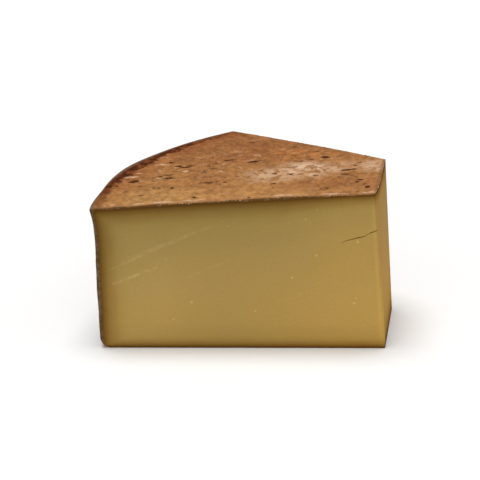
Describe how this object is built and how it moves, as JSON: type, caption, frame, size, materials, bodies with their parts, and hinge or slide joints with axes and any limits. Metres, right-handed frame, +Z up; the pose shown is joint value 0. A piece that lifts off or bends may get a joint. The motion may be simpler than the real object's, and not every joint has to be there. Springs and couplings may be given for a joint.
{
  "type": "beaufort cheese",
  "caption": "Wedge of beaufort, a hard alpine cheese, cut from a round wheel with its tip taken off: brown rind on top, heel and bottom, smooth yellow paste on the cuts.",
  "frame": {"origin": "middle of the bounding box, on the floor under the wedge", "axes": "+Z up along the wheel's axis, the first long cut faces -Y and runs along X, the heel faces -X and the short tip cut faces +X"},
  "size_m": [0.2346, 0.2432, 0.1229],
  "materials": {
    "cheese": "smooth cut paste with a dry brown rind"
  },
  "bodies": {
    "root": {"cheese_wedge": "cheese"}
  },
  "joints": []
}
